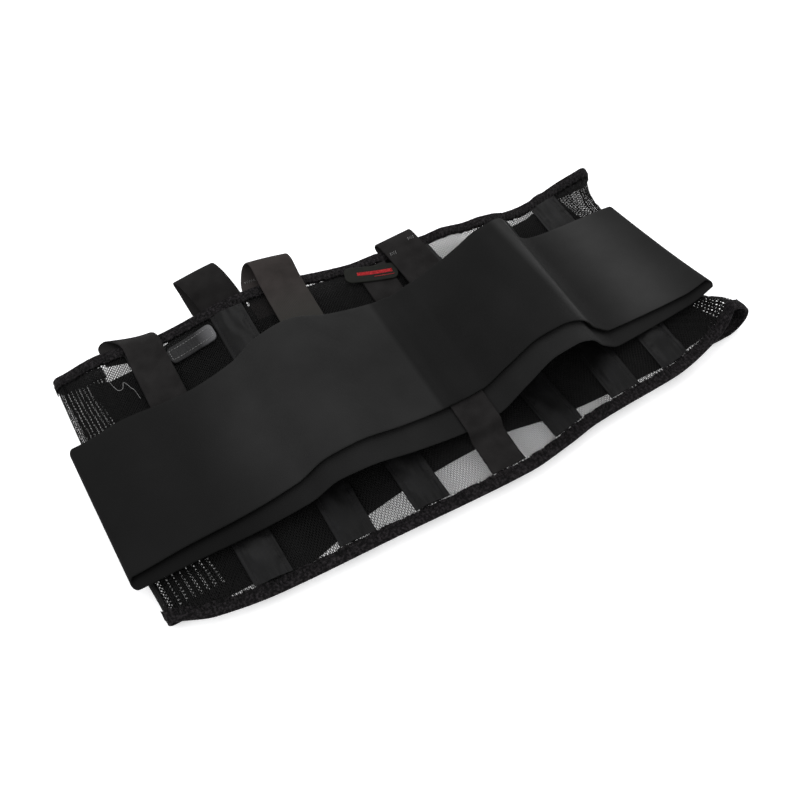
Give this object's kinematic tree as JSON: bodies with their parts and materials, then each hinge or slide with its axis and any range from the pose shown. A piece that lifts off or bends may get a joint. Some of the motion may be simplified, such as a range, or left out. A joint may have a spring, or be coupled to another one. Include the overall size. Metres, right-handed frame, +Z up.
{
  "type": "back support belt",
  "caption": "Lumbar support belt laid flat: mesh back with stay channels and bound edges, two folded elastic pull bands, strap loops and closure flaps.",
  "frame": {"origin": "on the table under the centre of the back, at mid height of the belt", "axes": "+X along the belt to its right fold, +Y to its top edge, +Z up from the table"},
  "size_m": [0.4835, 0.2622, 0.0593],
  "materials": {
    "mesh_cloth": "open power mesh",
    "edge_binding": "knit elastic tape, zigzag stitched",
    "stay_tape": "woven tape over a flexible stay",
    "band_elastic": "smooth woven elastic",
    "flap_cloth": "brushed closure cloth",
    "strap_webbing": "woven elastic webbing",
    "label_weave": "woven label with plain bars",
    "hook_tape": "moulded hook tape"
  },
  "bodies": {
    "root": {"back_panel": "mesh_cloth", "top_binding": "edge_binding", "bottom_binding": "edge_binding", "stay_channel_1": "stay_tape", "stay_channel_2": "stay_tape", "stay_channel_3": "stay_tape", "stay_channel_4": "stay_tape", "stay_channel_5": "stay_tape", "stay_channel_6": "stay_tape", "centre_webbing": "stay_tape", "left_pull_band": "band_elastic", "right_pull_band": "band_elastic", "left_closure_flap": "flap_cloth", "right_closure_flap": "flap_cloth", "strap_loop_1": "strap_webbing", "strap_loop_2": "strap_webbing", "strap_loop_3": "strap_webbing", "strap_loop_4": "strap_webbing", "woven_label": "label_weave", "hook_patch": "hook_tape"}
  },
  "joints": []
}
